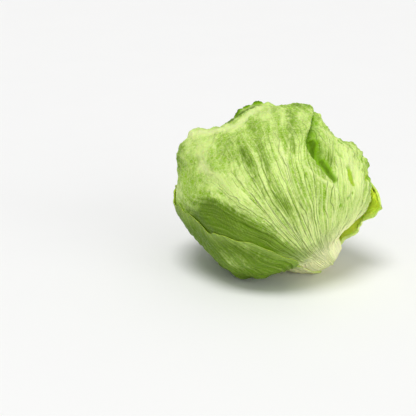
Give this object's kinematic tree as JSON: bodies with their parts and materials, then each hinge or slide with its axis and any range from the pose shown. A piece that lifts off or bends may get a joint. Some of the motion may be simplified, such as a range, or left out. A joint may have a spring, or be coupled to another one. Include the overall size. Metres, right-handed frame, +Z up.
{
  "type": "whole head of crisp lettuce",
  "caption": "Whole crisp green lettuce head of overlapping cupped leaves on a short stem, lying on its side with the pale butt at the right.",
  "frame": {"origin": "centre of the bounding box's underside, on the surface that the head lies on", "axes": "+Z up; +X towards the butt, along the longest extent; the side that the picture shows faces -Y"},
  "size_m": [0.181, 0.1618, 0.1431],
  "materials": {
    "outer_leaf": "satin, crisp waxy leaf, mid green",
    "head_leaf": "satin, crisp leaf, light green",
    "heart_leaf": "satin, tender leaf, yellow green",
    "stem": "satin, moist, cream"
  },
  "bodies": {
    "root": {"stem": "stem", "heart_bud": "heart_leaf", "wrapper_leaf_bottom": "outer_leaf", "wrapper_leaf_back": "outer_leaf", "wrapper_leaf_front": "outer_leaf", "wrapper_leaf_right": "outer_leaf", "wrapper_leaf_left": "outer_leaf", "wrapper_leaf_inner": "outer_leaf", "head_leaf_01": "head_leaf", "head_leaf_02": "head_leaf", "head_leaf_03": "head_leaf", "head_leaf_04": "head_leaf", "head_leaf_05": "head_leaf", "head_leaf_06": "head_leaf", "head_leaf_07": "head_leaf", "head_leaf_08": "head_leaf", "head_leaf_09": "head_leaf", "heart_leaf_01": "heart_leaf", "heart_leaf_02": "heart_leaf", "heart_leaf_03": "heart_leaf", "heart_leaf_04": "heart_leaf", "heart_leaf_05": "heart_leaf", "heart_leaf_06": "heart_leaf", "heart_leaf_07": "heart_leaf"}
  },
  "joints": []
}
